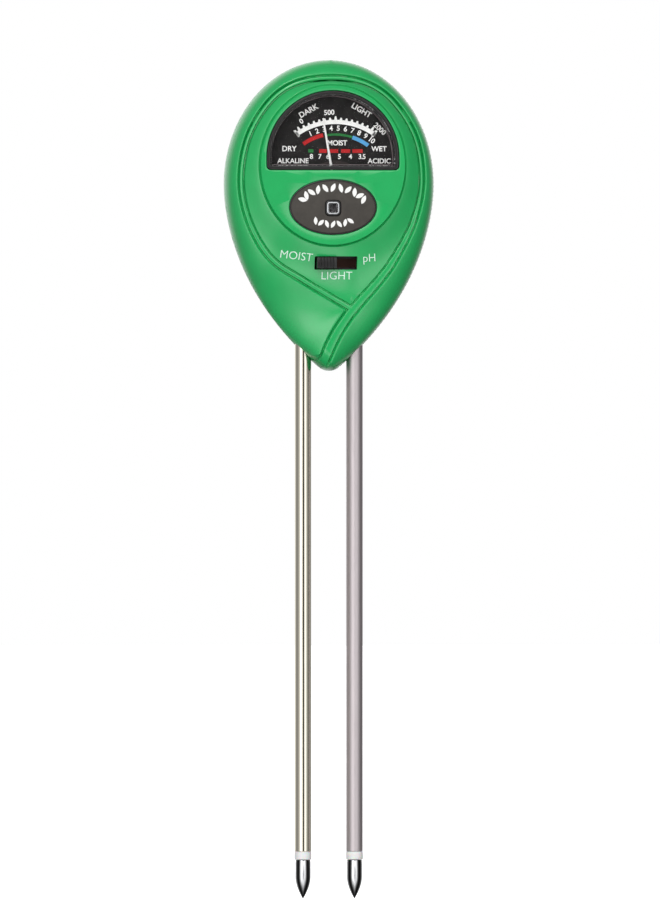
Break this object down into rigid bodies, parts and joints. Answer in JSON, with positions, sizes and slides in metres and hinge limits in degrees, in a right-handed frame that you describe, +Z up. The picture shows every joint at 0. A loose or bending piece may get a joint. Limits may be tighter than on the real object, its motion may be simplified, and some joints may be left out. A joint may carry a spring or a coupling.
{
  "type": "soil moisture meter",
  "caption": "Three-function soil meter: a teardrop plastic head with a moving-coil dial, light cell and slide switch, on two long metal probes.",
  "frame": {"origin": "midway between the points of the two probes, on the parting plane of the head", "axes": "+Z up the probes to the head, -Y the way the dial faces, +X to the right of someone who reads the dial"},
  "size_m": [0.065, 0.0274, 0.2592],
  "materials": {
    "green_plastic": "satin moulded, glossy edges",
    "black_plastic": "satin moulded",
    "dial_black": "matt black with printed scales",
    "clear_plastic": "clear moulded",
    "badge_grey": "satin print",
    "needle_white": "matt paint",
    "cell_dark": "matt",
    "steel": "plated",
    "cast_frame": "as cast",
    "chrome": "mirror",
    "nickel": "bright, warm",
    "aluminium": "satin drawn",
    "brass": "turned",
    "copper": "enamelled or tinned copper",
    "board": "phenolic paper board",
    "resistor_body": "lacquer with colour bands",
    "white_nylon": "slightly translucent",
    "wire_insulation": "PVC"
  },
  "bodies": {
    "meter": {"front_cover": "green_plastic", "rear_cover": "green_plastic", "dial_bezel": "black_plastic", "photocell_holder": "black_plastic", "dial_plate": "dial_black", "dial_window": "clear_plastic", "photocell_window": "clear_plastic", "badge_plate": "badge_grey", "photocell_chip": "cell_dark", "cover_screw_top_left": "steel", "cover_screw_top_right": "steel", "cover_screw_bottom": "steel", "movement_screw_left": "steel", "movement_screw_right": "steel", "board_screw_left": "steel", "board_screw_right": "steel", "clamp_screw": "steel", "flux_ring": "steel", "core_magnet": "steel", "switch_housing": "steel", "movement_frame": "cast_frame", "probe_tip_left": "chrome", "probe_tip_right": "chrome", "probe_tube_left": "nickel", "probe_tube_right": "aluminium", "jewel_screw_front": "brass", "jewel_screw_rear": "brass", "hairspring_front": "brass", "hairspring_rear": "brass", "core_spacer_top": "brass", "core_spacer_bottom": "brass", "switch_terminal_left": "copper", "switch_terminal_middle": "copper", "switch_terminal_right": "copper", "probe_core_left": "copper", "probe_core_right": "copper", "circuit_board": "board", "switch_base": "board", "resistor_1": "resistor_body", "resistor_2": "resistor_body", "resistor_3": "resistor_body", "resistor_4": "resistor_body", "probe_insulator_left": "white_nylon", "probe_insulator_right": "white_nylon", "probe_bush_left": "white_nylon", "probe_bush_right": "white_nylon", "probe_clamp": "white_nylon", "wire_probe_left": "wire_insulation", "wire_probe_right": "wire_insulation", "wire_meter_front": "wire_insulation", "wire_meter_rear": "wire_insulation", "wire_cell_left": "wire_insulation", "wire_cell_right": "wire_insulation"},
    "needle": {"moving_coil": "copper", "pointer": "needle_white", "balance_weight": "brass", "pivot_front": "steel", "pivot_rear": "steel"},
    "slider": {"switch_knob": "black_plastic", "switch_contact": "copper"}
  },
  "joints": [
    {"name": "needle_swing", "type": "hinge", "parent": "meter", "child": "needle", "pos_m": [0.001, 0, 0.2189], "axis": [0, 1, 0], "range_deg": [-26.4, 45.6], "stiffness_Nm_per_rad": 0.00002, "springref_deg": -26.36, "deforming": ["hairspring_front", "hairspring_rear"]},
    {"name": "switch_slide", "type": "slide", "parent": "meter", "child": "slider", "axis": [1, 0, 0], "range_m": [0, 0.006]}
  ]
}
